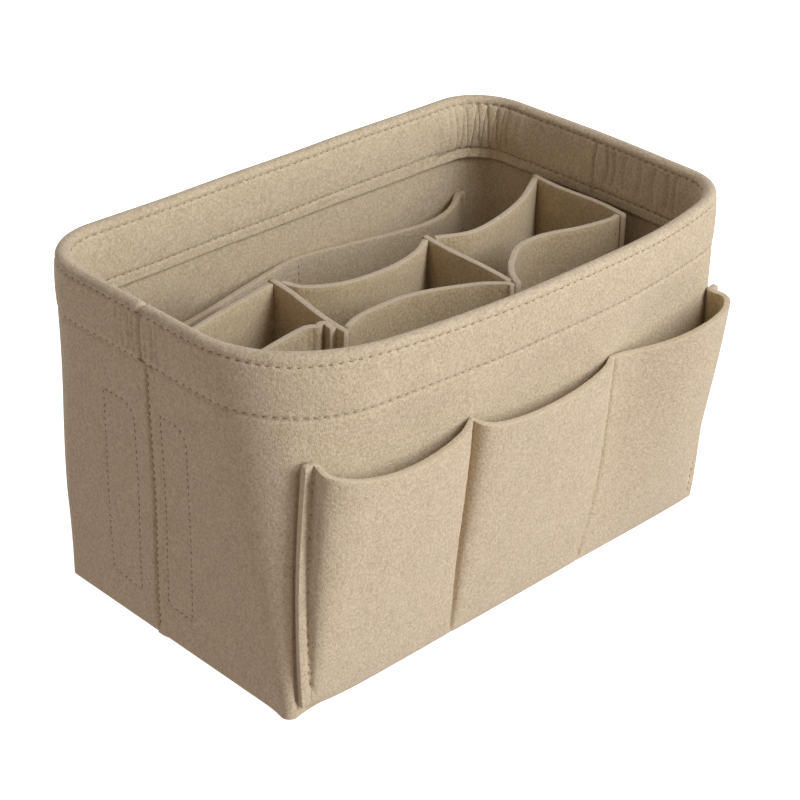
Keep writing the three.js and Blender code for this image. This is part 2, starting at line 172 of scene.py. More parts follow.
# thread far darker than the felt: painted shade of the needle holes, the thread itself being near the felt's own tone
shadedThreadFinish = dict(dark=(0.17, 0.13, 0.07), light=(0.36, 0.285, 0.17), twistSize=0.45, toneRange=(0.3, 0.7),
                    bumpDepth=0.08, roughness=0.6, specular=0.1)
tapeFinish = dict(dark=(0.3, 0.235, 0.145), light=(0.6, 0.5, 0.35), loopSize=1.5, loopDisorder=0.45,
                  toneRange=(0.3, 0.85), bumpDepth=0.6, roughness=0.9, specular=0.1)


def objectNoise(tree, size, detail, roughness=0.6, stretch=(1, 1, 1)):
    mapping = addNode(tree, "Mapping", {"Scale": stretch}, {"Vector": addNode(tree, "TexCoord").outputs["Object"]})
    texture = addNode(tree, "TexNoise", {"Scale": 1 / (size * mm), "Detail": detail, "Roughness": roughness},
                      {"Vector": mapping.outputs["Vector"]})
    return texture.outputs["Fac"]


def blendValues(tree, first, second, share):
    return addNode(tree, "Mix", {0: share}, {2: first, 3: second}).outputs[0]


def colourAndBump(tree, tone, height, finish):
    ramp = addNode(tree, "ValToRGB", {}, {"Fac": tone})
    for stop, place, colour in zip(ramp.color_ramp.elements, finish["toneRange"], ("dark", "light")):
        stop.position = place
        stop.color = (*finish[colour], 1)
    bump = addNode(tree, "Bump", {"Distance": finish["bumpDepth"] * mm, "Strength": 1}, {"Height": height})
    shader = tree.nodes["Principled BSDF"]
    tree.links.new(ramp.outputs["Color"], shader.inputs["Base Color"])
    tree.links.new(bump.outputs["Normal"], shader.inputs["Normal"])
    setInputs(shader, {"Roughness": finish["roughness"], "Specular IOR Level": finish["specular"]})
    return shader


def feltMaterial(name, finish):
    material, tree = newMaterial(name)
    fleck = objectNoise(tree, finish["fleckSize"], detail=3)
    fibre = objectNoise(tree, finish["fibreSize"], detail=2, stretch=finish["fibreStretch"])
    cloud = objectNoise(tree, finish["cloudSize"], detail=2)
    fine = blendValues(tree, fleck, fibre, finish["fibreShare"])
    shader = colourAndBump(tree, blendValues(tree, fine, cloud, finish["cloudShare"]), fine, finish)
    setInputs(shader, {"Sheen Weight": finish["sheen"], "Sheen Roughness": finish["sheenRoughness"]})
    return material


def threadMaterial(name, finish):
    material, tree = newMaterial(name)
    twist = objectNoise(tree, finish["twistSize"], detail=2)
    colourAndBump(tree, twist, twist, finish)
    return material


def tapeMaterial(name, finish):  # close rows of small loops or hooks
    material, tree = newMaterial(name)
    loops = addNode(tree, "TexVoronoi", {"Scale": 1 / (finish["loopSize"] * mm), "Randomness": finish["loopDisorder"]},
                    {"Vector": addNode(tree, "TexCoord").outputs["Object"]})
    turned = addNode(tree, "Math", {0: 1}, {1: loops.outputs["Distance"]})
    turned.operation = "SUBTRACT"
    colourAndBump(tree, turned.outputs[0], turned.outputs[0], finish)
    return material


feltFace = feltMaterial("feltFace", feltFinish)
feltInnerShadeTint = feltMaterial("feltInnerShadeTint", shadeTintedFinish)
feltCutWithHighlight = feltMaterial("feltCutWithHighlight", cutFinishWithHighlight)
shadedSewingThread = threadMaterial("shadedSewingThread", shadedThreadFinish)
stripWeave = tapeMaterial("stripWeave", tapeFinish)
print("materials mixed")


# the shell's outline: straight at the base, rounder and bowed out towards the rim; radii go from the front left
# corner round to the rear left, bows from the left side round to the rear
shell = dict(height=164, felt=3, gap=0.3, seamGap=0.04, edgeRound=0.4,
             baseLength=260, baseDepth=148, baseRadii=(3.2, 3.5, 4, 3.5), baseClear=0.02, baseCorner=2,
             rimLength=274, rimDepth=165, rimRadii=(56, 28, 29, 32), rimBows=(0.5, 9.5, 1.5, 1.2),
             leftLean=7.5, bandOutside=25.8, bandInside=31.5)
# how finely the outline is walked and looked up, and how its steps crowd beside a seam and after a corner
sideDetail = dict(curvePoints=81, levels=83, reach=138, columns=553, pastEnd=1.001,
                  seamCrowding=1.3, cornerCrowding=1.25)
left, front, right, rear = range(4)
walk = np.array([(0, -1), (1, 0), (0, 1), (-1, 0)], float)
cornerSigns = np.array([(-1, -1), (1, -1), (1, 1), (-1, 1)], float)
roundHandle = 4 / 3 * (math.sqrt(2) - 1)
felt, gap = shell["felt"], shell["gap"]
wallTop = shell["height"] - shell["bandOutside"]
bandEdge = shell["height"] - shell["bandInside"]
floorTop = felt + gap


def unit(vector):
    return vector / np.linalg.norm(vector)


def outlineAt(z):
    share = z / shell["height"]
    grown = lambda base, rim: base + (rim - base) * share
    half = np.array([grown(shell["baseLength"], shell["rimLength"]), grown(shell["baseDepth"], shell["rimDepth"])]) / 2
    radii = [grown(base, rim) for base, rim in zip(shell["baseRadii"], shell["rimRadii"])]
    tips = cornerSigns * half
    sides = []
    for i, way in enumerate(walk):
        start, end = tips[i - 1] + way * radii[i - 1], tips[i] - way * radii[i]
        outward = np.array([way[1], -way[0]])
        sides.append(np.array([start, (start + end) / 2 + outward * 2 * shell["rimBows"][i] * share, end]))
    corners = []
    for i, side in enumerate(sides):
        after = sides[(i + 1) % 4]
        handle = roundHandle * radii[i]
        corners.append(np.array([side[2], side[2] + unit(side[2] - side[1]) * handle,
                                 after[0] - unit(after[1] - after[0]) * handle, after[0]]))
    return sides, corners


def onCurve(control, shares):  # points of a bent side or corner, and the way out of the shell there
    u = np.asarray(shares, float)[:, None]
    v = 1 - u
    if len(control) == 3:
        a, b, c = control
        points = v * v * a + 2 * u * v * b + u * u * c
        slope = v * (b - a) + u * (c - b)
    else:
        a, b, c, d = control
        points = v ** 3 * a + 3 * u * v * v * b + 3 * u * u * v * c + u ** 3 * d
        slope = v * v * (b - a) + 2 * u * v * (c - b) + u * u * (d - c)
    slope = slope / np.linalg.norm(slope, axis=1, keepdims=True)
    return points, np.stack([slope[:, 1], -slope[:, 0]], 1)


def joined(runs):
    return tuple(np.concatenate(parts) for parts in zip(*runs))


def sideLine(z, i, reach):  # spots on one side, by their distance along it, carried on round its corners
    sides, corners = outlineAt(z)
    shares = np.linspace(0, 1, sideDetail["curvePoints"])
    points, normals = joined(onCurve(curve, shares) for curve in (corners[i - 1], sides[i], corners[i]))
    along = points @ walk[i]
    pick = lambda values: np.stack([np.interp(reach, along, values[:, k]) for k in (0, 1)], 1)
    return pick(points), pick(normals)


sideLevels = np.linspace(0, shell["height"], sideDetail["levels"])
sideReach = np.linspace(-sideDetail["reach"], sideDetail["reach"], sideDetail["columns"])
sideTables = [np.array([np.hstack(sideLine(z, i, sideReach)) for z in sideLevels]) for i in range(4)]


def onSide(i, reach, z):  # the same for many spots at once, each at its own height
    reach, z = np.broadcast_arrays(np.asarray(reach, float), np.asarray(z, float))
    row = np.clip(z / sideLevels[1], 0, len(sideLevels) - sideDetail["pastEnd"])
    column = (reach - sideReach[0]) / (sideReach[1] - sideReach[0])
    column = np.clip(column, 0, len(sideReach) - sideDetail["pastEnd"])
    r, c = row.astype(int), column.astype(int)
    u, v = (row - r)[..., None], (column - c)[..., None]
    table = sideTables[i]
    near = table[r, c] * (1 - u) + table[r + 1, c] * u
    far = table[r, c + 1] * (1 - u) + table[r + 1, c + 1] * u
    spot = near * (1 - v) + far * v
    return spot[..., :2], spot[..., 2:]


def sunkIn(i, reach, z, inset):  # spots of one side, so far inside the outline
    points, normals = onSide(i, reach, z)
    return np.column_stack([points - normals * np.reshape(inset, (-1, 1)), z])


def halfLine(z, half, leftY, rightY, steps):  # the outline from end seam to end seam
    sides, corners = outlineAt(z)
    first, side, last = (left, front, right) if half == front else (right, rear, left)
    clear = shell["seamGap"] / 2 * (-1 if half == front else 1)
    firstY, lastY = (leftY, rightY) if half == front else (rightY, leftY)
    crossing = lambda i, y: (y - sides[i][0][1]) / (sides[i][2][1] - sides[i][0][1])
    closer = lambda count: np.linspace(0, 1, count + 1) ** sideDetail["seamCrowding"]
    even = lambda count: np.linspace(0, 1, count + 1)[:-1]
    start, end = crossing(first, firstY + clear), crossing(last, lastY + clear)
    return joined([onCurve(sides[first], start + (1 - start) * closer(steps[0])[:-1]),
                   onCurve(corners[first], even(steps[1])),
                   onCurve(sides[side], even(steps[2]) ** sideDetail["cornerCrowding"]),
                   onCurve(corners[side], even(steps[3])),
                   onCurve(sides[last], end * (1 - closer(steps[4])[::-1]))])


def leanAt(y, z):
    return y - shell["leftLean"] * z / shell["height"]


def raised(points, z):  # plan points lifted to a height
    return np.column_stack([points, np.broadcast_to(z, len(points))])


def walked(points):  # distance travelled at each point of a path
    return np.concatenate([[0], np.cumsum(np.linalg.norm(np.diff(points, axis=0), axis=1))])


def equalSteps(points, count):  # a path walked in equal steps
    travelled = walked(points)
    marks = np.linspace(0, travelled[-1], count)
    return np.stack([np.interp(marks, travelled, values) for values in points.T], 1)


def evenly(points, spacing):
    return equalSteps(points, max(2, round(walked(points)[-1] / spacing) + 1))


# soft felt never stands quite true: the same slow wander and slumps for every piece keep neighbours apart
wander = dict(amount=0.22, freeHeight=45, turn=1.7,
              waves=((0.052, 0.021, 0.037, 0.3), (-0.033, 0.047, 0.061, 1.9),
                     (0.018, -0.071, 0.029, 4.1), (0.085, 0.064, -0.043, 2.6)))
# each slump: its centre, how far it reaches along x, y and z, and how far the felt moves there
slumps = (((-130, 74, 155), (42, 42, 35), (-1.1, 1.1, 0)),  # rear left corner stands out
          ((-130, 74, 45), (42, 42, 42), (-1.1, 1.1, 0)),
          ((-112, -72, 136), (45, 40, 13), (0, 0, -1.5)),  # band seam sinks round the front left corner
          ((0, -88, 164), (45, 25, 30), (0, 0, 0.8)),  # front rim, high in the middle and low at its right
          ((92, -84, 164), (28, 25, 30), (0, 0, -1.3)),
          ((133, -55, 112), (22, 30, 34), (1.0, -0.7, 0)),
          ((137, 20, 164), (20, 60, 30), (0, 0, -0.6)),
          ((20, 82, 164), (90, 20, 30), (0, 0, -0.6)))


def settle(points):
    moved = points.copy()
    loose = np.clip(points[..., 2] / wander["freeHeight"], 0, 1)
    for k, (x, y, z, phase) in enumerate(wander["waves"]):
        swing = np.sin(points[..., 0] * x + points[..., 1] * y + points[..., 2] * z + phase) * loose
        moved[..., 0] += wander["amount"] * swing * math.cos(wander["turn"] * k)
        moved[..., 1] += wander["amount"] * swing * math.sin(wander["turn"] * k)
    for centre, reach, move in slumps:
        share = np.exp(-(((points - np.array(centre)) / np.array(reach)) ** 2).sum(-1)) * loose
        moved += share[..., None] * np.array(move)
    return moved


def gridNormals(grid):
    across = np.gradient(grid, axis=1)
    up = np.gradient(grid, axis=0)
    normals = np.cross(across, up)
    return normals / np.linalg.norm(normals, axis=2, keepdims=True)


# stitches: short runs of thread, each in a dimple that it pulls in the felt; the thread is coloured dark as painted
# shade of its needle holes
sewing = dict(pitch=4.1, length=2.3, lengths=(0.8, 1.15), thickness=0.6, proud=0.16, wobble=0.12, aim=2,
              between=0.3, pressReach=2.5, pathStep=0.3, nearest=4, nearestBlend=0.05,
              threadSides=8, threadRings=5, runLength=24, seed=11)
sewnRows = {}
chance = random.Random(sewing["seed"])


def treeOf(points):
    tree = KDTree(len(points))
    for k, point in enumerate(points):
        tree.insert(point, k)
    tree.balance()
    return tree


def faceLine(path, tree, grid, normals, outward):  # a sewn line on the face of the felt, in small even steps
    spots, ways = [], []
    for point in evenly(path, sewing["pathStep"]):
        nearest = tree.find_n(point, sewing["nearest"])
        weights = np.array([1 / (near[2] + sewing["nearestBlend"]) for near in nearest])[:, None]
        index = [near[1] for near in nearest]
        way = unit((normals[index] * weights).sum(0)) * outward
        base = (grid[index] * weights).sum(0) / weights.sum()
        spots.append(point + way * ((base - point) @ way + felt / 2))
        ways.append(way)
    return np.array(spots), np.array(ways)


def pressLine(face, spots, ways, depth, width, pitch):  # pulls one face in along a line, most under each stitch
    travelled = walked(spots)
    pull = np.ones(len(spots))
    if pitch:
        beat = travelled[-1] / max(1, round(travelled[-1] / pitch))
        pull = sewing["between"] + (1 - sewing["between"]) * np.sin(math.pi * travelled / beat) ** 2
    tree = treeOf(spots)
    reach = sewing["pressReach"] * width
    low, high = spots.min(0) - reach, spots.max(0) + reach
    for j, i in np.argwhere(np.all((face >= low) & (face <= high), axis=2)):
        _, k, distance = tree.find(face[j, i])
        if distance < reach:
            face[j, i] -= ways[k] * depth * pull[k] * math.exp(-(distance / width) ** 2)


def sew(group, spots, ways, depth, pitch):
    travelled = walked(spots)
    count = max(1, round(travelled[-1] / pitch))
    aim = sewing["aim"]
    for k in range(count):
        place = np.searchsorted(travelled, (k + 0.5) / count * travelled[-1])
        place = min(max(place, aim), len(spots) - 1 - aim)
        normal = Vector(ways[place])
        along = Vector(spots[place + aim] - spots[place - aim])
        along = (along - normal * along.dot(normal)).normalized()
        along = (along + normal.cross(along) * chance.uniform(-1, 1) * sewing["wobble"]).normalized()
        across = normal.cross(along)
        half = sewing["length"] / 2 * chance.uniform(*sewing["lengths"]) * pitch / sewing["pitch"]
        thread = sewing["thickness"] / 2
        centre = Vector(spots[place]) - normal * (depth - sewing["proud"])
        turn = Matrix((along * half, across * thread, normal * thread)).transposed().to_4x4()
        sewnRows.setdefault(group, []).append(Matrix.Translation(centre) @ turn)


def threadObjects():
    upright = Matrix.Rotation(math.pi / 2, 4, "Y")
    for name, places in sewnRows.items():
        whole = bmesh.new()
        for first in range(0, len(places), sewing["runLength"]):  # short runs, because one growing mesh is slow
            run = bmesh.new()
            for place in places[first:first + sewing["runLength"]]:
                bmesh.ops.create_uvsphere(run, u_segments=sewing["threadSides"], v_segments=sewing["threadRings"],
                                          radius=1, matrix=Matrix.Scale(mm, 4) @ place @ upright)
            shortRun = bpy.data.meshes.new("shortRun")
            run.to_mesh(shortRun)
            run.free()
            whole.from_mesh(shortRun)
            bpy.data.meshes.remove(shortRun)
        piece = meshObject(name, whole, shadedSewingThread)
        piece.data.shade_smooth()
        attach(piece, "compartment_unit" if name.startswith("unit") else "shell")


def cutSize(grid):  # width and length of the flat piece that was cut
    return tuple(float(np.linalg.norm(np.diff(grid, axis=way), axis=2).sum(way).mean()) for way in (1, 0))


def sheetObject(name, node, body, grid, flat, held, restsOn, thickness=felt, face=feltFace, edge=feltCutWithHighlight,
                slot="felt", edgeRound=shell["edgeRound"], sewn=()):
    rows, columns = grid.shape[:2]
    bm = bmesh.new()
    bmesh.ops.create_grid(bm, x_segments=columns - 1, y_segments=rows - 1, size=0.5)
    order = np.zeros((rows, columns), int)
    for k, vert in enumerate(bm.verts):
        i, j = round((vert.co.x + 0.5) * (columns - 1)), round((vert.co.y + 0.5) * (rows - 1))
        vert.co = Vector(grid[j, i]) * mm
        order[j, i] = k
    piece = thickSheet(name, bm, thickness, face, edge)
    if sewn:
        pressFaces(piece.data, order, grid, sewn)
    finishSheet(piece, node, body, edgeRound)


def thickSheet(name, bm, thickness, face, edge):
    piece = meshObject(name, bm, face, edge)
    sheet = piece.data
    sheet.shade_smooth()
    thicken = piece.modifiers.new("feltThickness", "SOLIDIFY")
    thicken.thickness = thickness * mm
    thicken.offset = 0
    thicken.use_even_offset = True
    thicken.thickness_clamp = 0
    thicken.material_offset_rim = 1
    bpy.context.view_layer.update()
    thick = bpy.data.meshes.new_from_object(piece.evaluated_get(bpy.context.evaluated_depsgraph_get()))
    piece.modifiers.clear()
    piece.data = thick
    bpy.data.meshes.remove(sheet)
    thick.name = name
    bm = bmesh.new()
    bm.from_mesh(thick)
    rounded = bm.edges.layers.float.new("bevel_weight_edge")  # only the cut edges are rounded off
    for line in bm.edges:
        line[rounded] = float(len({side.material_index for side in line.link_faces}) > 1)
    bm.to_mesh(thick)
    bm.free()
    return piece


def pressFaces(thick, order, grid, sewn):  # each face of the thick sheet is pressed by itself
    spots = np.empty(len(thick.vertices) * 3)
    thick.vertices.foreach_get("co", spots)
    spots = spots.reshape(-1, 3) / mm
    normals = gridNormals(grid)
    faceOut = 0 if ((spots[order] - grid) * normals).sum() > 0 else order.size
    flatGrid, flatNormals = grid.reshape(-1, 3), normals.reshape(-1, 3)
    tree = treeOf(flatGrid)
    for group, path, outward, depth, width, pitch in sewn:
        line, ways = faceLine(path, tree, flatGrid, flatNormals, outward)
        layer = order + (faceOut if outward > 0 else order.size - faceOut)
        face = spots[layer]
        pressLine(face, line, ways, depth, width, pitch)
        spots[layer] = face
        if group:
            sew(group, line, ways, depth, pitch)
    thick.vertices.foreach_set("co", (spots * mm).ravel())
    thick.update()


def finishSheet(piece, node, body, edgeRound):
    rounding = piece.modifiers.new("cutEdge", "BEVEL")
    rounding.limit_method = "WEIGHT"
    rounding.width = edgeRound * mm
    rounding.segments = 2
    rounding.profile = 0.5
    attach(piece, body)
    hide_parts(node)


def dents(distance, marks):  # a row of soft creases: each has its place, depth and width
    return sum(depth * np.exp(-((distance - place) / width) ** 2) for place, depth, width in marks)


# walls
wall = dict(
    steps={front: (70, 46, 84, 16, 24), rear: (24, 44, 76, 20, 70)}, levels=124, topLevels=26, topReach=11,
    leftSeamY=10.6, rightSeamY=0, seamRidge=0.7, seamMargin=5, seamEdge=2.2, seamPoints=40,
    footFlare=0.45, footFlareReach=(28, 70), footTuck=9, cornerPoint=1.4, cornerReach=(7, 25),
    mouthDip=2.4, mouthHeight=117, mouthReach=15, mouthShape=0.8, stripes=0.22, stripeFade=45, edgeRound=0.25)


def wallGrid(half):
    levels = np.concatenate([np.linspace(0, wallTop - wall["topReach"], wall["levels"])[:-1],
                             np.linspace(wallTop - wall["topReach"], wallTop - gap, wall["topLevels"])])
    rows = []
    for z in levels:
        points, normals = halfLine(z, half, leanAt(wall["leftSeamY"], z), wall["rightSeamY"], wall["steps"][half])
        travelled = walked(points)
        out = np.zeros(len(points))
        if half == front:
            past = np.exp((travelled - wall["seamMargin"]) * wall["seamEdge"])
            out += wall["seamRidge"] / (1 + past)  # seam allowance underneath
            tip = np.hypot(points[:, 0] + shell["baseLength"] / 2, points[:, 1] + shell["baseDepth"] / 2)
            reach = wall["cornerReach"]
            out += wall["cornerPoint"] * np.exp(-(tip / reach[0]) ** 2 - (z / reach[1]) ** 2)  # base corner drawn out
            dip = wall["mouthDip"] * math.exp(-((z - wall["mouthHeight"]) / wall["mouthReach"]) ** 2)
            for near, far in zip(frontPockets["lines"], frontPockets["lines"][1:]):  # sinks behind each pocket mouth
                across = np.clip((points[:, 0] - near[0]) / (far[0] - near[0]), 0, 1)
                out -= dip * np.sin(math.pi * across) ** wall["mouthShape"]
        else:
            fromSeam, reach = travelled[-1] - travelled, wall["footFlareReach"]
            aboveBase = 1 - math.exp(-(z / wall["footTuck"]) ** 2)  # none where the base meets the wall
            out += wall["footFlare"] * aboveBase * np.exp(-(fromSeam / reach[0]) ** 2 - (z / reach[1]) ** 2)
            fade = wall["stripes"] * math.exp((z - wallTop) / wall["stripeFade"])
            out -= fade * gatherLift(travelled, z, wall["stripeFade"])
        rows.append(raised(points - normals * (felt / 2 - out)[:, None], z))
    return np.array(rows)


def seamPath(low, high, aside):  # along the left end seam, through the middle of the felt
    z = np.linspace(low, high, wall["seamPoints"])
    return sunkIn(left, -(leanAt(wall["leftSeamY"], z) - aside), z, felt / 2)


def outlinePath(strip):  # the sewn outline of a fastener strip, with its front top corner rounded off
    backY, frontY, low, high, bend, drop = strip["outline"]
    turn = np.linspace(0, math.pi / 2, strips["bendPoints"])
    corner = [(frontY + bend * (1 - math.sin(a)), high - bend * (1 - math.cos(a))) for a in turn]
    plan = [(backY, low), (backY, high), *corner, (frontY, low - drop), (backY, low)]
    y, z = evenly(np.array(plan), spacing=1).T
    return sunkIn(left, -(leanAt(strip["y"], z) + y), z, felt / 2)


# rim band: a strip folded over the top edge; each sewn row is given by its height at a few distances along the strip,
# and each crease by its distance from the seam, its depth and its lean
farEnd = 400  # past the end of either strip
band = dict(
    steps={front: (40, 92, 216, 44, 62), rear: (60, 100, 236, 50, 48)}, leftSeamY=7.5, rightSeamY=1,
    outsideStops=(wallTop, wallTop + 3.2, 156.4), outsideRows=(8, 12, 10), foldRows=12,
    insideStops=(157, 141.5, 135, bandEdge), insideRows=(9, 13, 14, 5),
    puff=0.5, puffShape=0.6, outsidePuff=(wallTop, 160), insidePuff=(137.5, 160), edgeGather=0.35,
    footRow=0.55, allowance=5.6, allowanceLift=0.8, allowanceEdge=3, edgeRound=0.25, edgeShadow=2.1,
    insideSeam=(bandEdge + 1, shell["height"] - 4), insideSeamPoints=30,
    outsideRow={front: ((0, 160.2), (45, 160), (78, 158.4), (112, 159.9), (farEnd, 160)),
                rear: ((0, 160), (farEnd, 160))},
    insideRow={front: ((0, 160), (farEnd, 160)),
               rear: ((0, 160.2), (100, 160.3), (200, 159.8), (farEnd, 159.7))},
    edgeRow={front: ((0, 137.2), (farEnd, 137.2)),
             rear: ((0, 136.9), (60, 137.4), (95, 138.8), (140, 138.6), (210, 137.4), (farEnd, 137.2))},
    creaseSpan=(wallTop + 4, shell["height"] - 6), creasePoints=20, seamCreaseWidth=0.6, endCreaseWidth=0.9,
    seamCreases={front: ((4.4, 0.8, 0.4), (7.6, 1.4, -0.6), (11.4, 0.9, 0.5), (17, 0.6, -0.4)),
                 rear: ((3.8, 1.3, 0.5), (7.4, 1.5, -0.8), (10.6, 1.2, 0.6), (14.2, 0.9, -0.3))},
    endCreases=((6.6, 1.2, -1.6), (11.5, 1.3, -1), (19, 0.9, 1), (28, 0.8, -0.8), (37, 1.1, 0.9),
                (45, 1.3, -0.7), (50, 1.1, 0.5)))

# gathers in the rear right corner: each crease's distance along the band, depth, width and slant
gathers = dict(height=2.2, fade=1.5, middle=148, creases=(
    (44.0, 0.4, 1.4, 0.05), (49.5, 0.8, 1.1, -0.08), (54.2, 1.3, 0.9, 0.10), (58.0, 1.0, 0.8, 0.02),
    (61.8, 1.9, 0.9, 0.14), (65.1, 1.4, 0.7, -0.06), (68.6, 2.4, 0.9, 0.12), (72.4, 2.2, 0.8, -0.10),
    (75.3, 1.5, 0.7, 0.08), (79.2, 2.3, 0.9, -0.15), (83.8, 1.3, 0.8, 0.06), (87.6, 1.5, 0.9, -0.12),
    (92.4, 0.8, 1.0, 0.05), (97.8, 0.9, 1.1, -0.06), (104.5, 0.4, 1.4, 0)))


def gatherLift(travelled, z, reach=24):  # the felt stands up between creases that stay down on the wall
    marks, fade = gathers["creases"], gathers["fade"]
    begun = 1 / (1 + np.exp((marks[0][0] - travelled) / fade))
    ended = 1 + np.exp((travelled - marks[-1][0]) / fade)
    fall = min(max(z - gathers["middle"], -reach), reach)
    creases = dents(travelled, [(place + slant * fall, depth, width) for place, depth, width, slant in marks])
    return np.maximum(gathers["height"] - creases, 0) * (begun / ended)


def bandSection():  # [inset, height] of the strip's middle, from the outside foot over the crest to the inside edge
    centre = felt + gap / 2
    bendHeight = shell["height"] - centre
    radius = centre - felt / 2
    spread = lambda stops, counts: np.concatenate([np.linspace(a, b, n)[:-1]
                                                   for a, b, n in zip(stops, stops[1:], counts)])
    outside = [(felt / 2, z) for z in spread((*band["outsideStops"], bendHeight), band["outsideRows"])]
    crest = [(centre - radius * math.cos(a), bendHeight + radius * math.sin(a))
             for a in np.linspace(0, math.pi, band["foldRows"] + 1)]
    inside = [(centre + radius, z) for z in spread((bendHeight, *band["insideStops"]), band["insideRows"])[1:]]
    return outside, crest, inside + [(centre + radius, bandEdge)]


def bandLine(half, z):
    return halfLine(z, half, band["leftSeamY"], band["rightSeamY"], band["steps"][half])


def bandGrid(half):
    outside, crest, inside = bandSection()
    rows = []
    for k, (inset, z) in enumerate(outside + crest + inside):
        points, normals = bandLine(half, z)
        travelled = walked(points)
        turnedIn = k >= len(outside) + len(crest) / 2
        low, high = band["insidePuff"] if turnedIn else band["outsidePuff"]
        share = min(max((z - low) / (high - low), 0), 1)
        swell = math.sin(math.pi * share) ** band["puffShape"]  # fullest between the sewn rows
        lift = np.full(len(points), band["puff"] * swell)
        if turnedIn and half == rear:
            lift += gatherLift(travelled, z) * max(swell, band["edgeGather"] * (low - z) / (low - bandEdge))
        elif turnedIn:
            past = np.exp((travelled[-1] - travelled - band["allowance"]) * band["allowanceEdge"])
            lift += band["allowanceLift"] / (1 + past) * swell
        rows.append(raised(points - normals * (inset + (lift if turnedIn else -lift))[:, None], z))
    return np.array(rows)


def bandSeam(y):  # the left end seam of the band, from its foot over the crest
    outside, crest, _ = bandSection()
    inset, z = np.array(outside + crest).T
    return sunkIn(left, -y, z, inset)


def bandCrease(side, y, lean, inset):  # a short crease up one end of the band
    z = np.linspace(*band["creaseSpan"], band["creasePoints"])
    y = y + lean * np.sin(np.linspace(0, math.pi, band["creasePoints"]))
    return sunkIn(side, y * walk[side][1], z, inset)


def bandRow(half, inset, heights):
    points, normals = bandLine(half, np.mean([z for _, z in heights]))
    z = np.interp(walked(points), *zip(*heights))
    return np.column_stack([points - normals * inset, z])


# pockets: each sewn line has the place of its foot, its lean and its bow, and each swell its bulge, skew,
# squareness and sag; the foot rises beside the left flange
frontPockets = dict(
    side=front, foot=1.6, flange=3.5, flangeLift=1.8, flangeColumns=6, tops=(119, 115, 112, 116.5),
    lines=((-122, 6.2, -1.5), (-38.2, -2.9, 0), (44.4, 2.3, 4.6), (123.6, -1.8, 1.2)),
    swells=((9.4, 0.37, 0.45, 8), (7.2, 0.45, 0.42, 5.2), (17, 1.9, 0.85, 0)),
    tilts=(0, 0, -2), fills=(0, 0, 0.5), seat=-gap - felt / 2, outward=1, fall=0.72,
    spacing=1.15, softening=6, levels=56, footLift=4.2, footReach=11)
rearPocket = dict(
    side=rear, foot=floorTop, flange=3.8, flangeLift=0.4, flangeColumns=5, tops=(112.3, 112.8, 113.3),
    lines=((-115.2, 0, 0), (9.2, 0, 0), (118, 0, 0)),
    swells=((17.4, 0.52, 1.13, -0.4), (10.9, 2.47, 0.9, 3.3)),
    tilts=(0, 0), fills=(0, 0), seat=felt + gap + felt / 2, outward=-1, fall=0.8,
    spacing=1.6, softening=2, levels=40, footLift=0, footReach=1)
pocketDetail = dict(seamMargin=0.2, profilePoints=500, sagShape=0.8, footPress=8, hookReach=0.035, linePoints=60)


def wave(share, skew):
    return np.maximum(np.sin(math.pi * np.power(share, skew)), 0)


def lineX(pocket, k, share):
    foot, lean, bow = pocket["lines"][k]
    return foot + lean * share + bow * np.sin(math.pi * share)


def pocketColumns(pocket):  # for each column: the pocket it is in, its place across it, its bulge and its top
    rim = np.linspace(0, pocket["flange"], pocket["flangeColumns"] + 1)[1:]
    columns = [(0, -d, pocket["flangeLift"] * (d / rim[-1]) ** 2, pocket["tops"][0]) for d in rim[::-1]]
    for k, (bulge, skew, squareness, sag) in enumerate(pocket["swells"]):
        width = pocket["lines"][k + 1][0] - pocket["lines"][k][0]
        margin = (felt / 2 + pocketDetail["seamMargin"]) / width  # the felt lies flat on its sewn line
        share = (1 - np.cos(np.linspace(0, math.pi, pocketDetail["profilePoints"]))) / 2
        bulges = bulge * wave(share, skew) ** (squareness - pocket["fills"][k] * share)
        free = np.column_stack([(margin + share * (1 - 2 * margin)) * width, bulges])
        profile = evenly(np.vstack([(0, 0), free, (width, 0)]), pocket["spacing"])
        for _ in range(pocket["softening"]):  # each point moves half way to the middle of its neighbours
            profile[1:-1] = profile[1:-1] * 0.5 + (profile[:-2] + profile[2:]) * 0.25
        near, far = pocket["tops"][k:k + 2]
        for across, out in profile[k > 0:]:
            u = across / width
            top = near + (far - near) * u - sag * math.sin(math.pi * min(u, 1)) ** pocketDetail["sagShape"]
            top += pocket["tilts"][k] * math.sin(2 * math.pi * u)
            columns.append((k, u, out, top))
    last = len(pocket["swells"])
    columns += [(last, d, pocket["flangeLift"] * (d / rim[-1]) ** 2, pocket["tops"][-1]) for d in rim]
    return columns


def pocketGrid(pocket):
    columns = pocketColumns(pocket)
    bulges, tops = np.array([column[2:] for column in columns]).T
    side, last = pocket["side"], len(pocket["swells"])
    rows = []
    for share in np.linspace(0, 1, pocket["levels"]):
        lines = [lineX(pocket, k, share) for k in range(last + 1)]
        x = np.array([lines[k] + (u if u < 0 or k == last else u * (lines[k + 1] - lines[k]))
                      for k, u, _, _ in columns])
        fromFlange = np.maximum(x - lines[0], 0)
        foot = pocket["foot"] + pocket["footLift"] * np.exp(-fromFlange / pocket["footReach"])
        z = foot + (tops - foot) * share
        out = bulges * share ** pocket["fall"]
        out -= (gap - shell["seamGap"]) * (1 - share) ** pocketDetail["footPress"]  # sewn down along the foot
        rows.append(sunkIn(side, walk[side][0] * x, z, pocket["seat"] - pocket["outward"] * out))
    grid = np.array(rows)
    return grid if side == front else grid[:, ::-1]


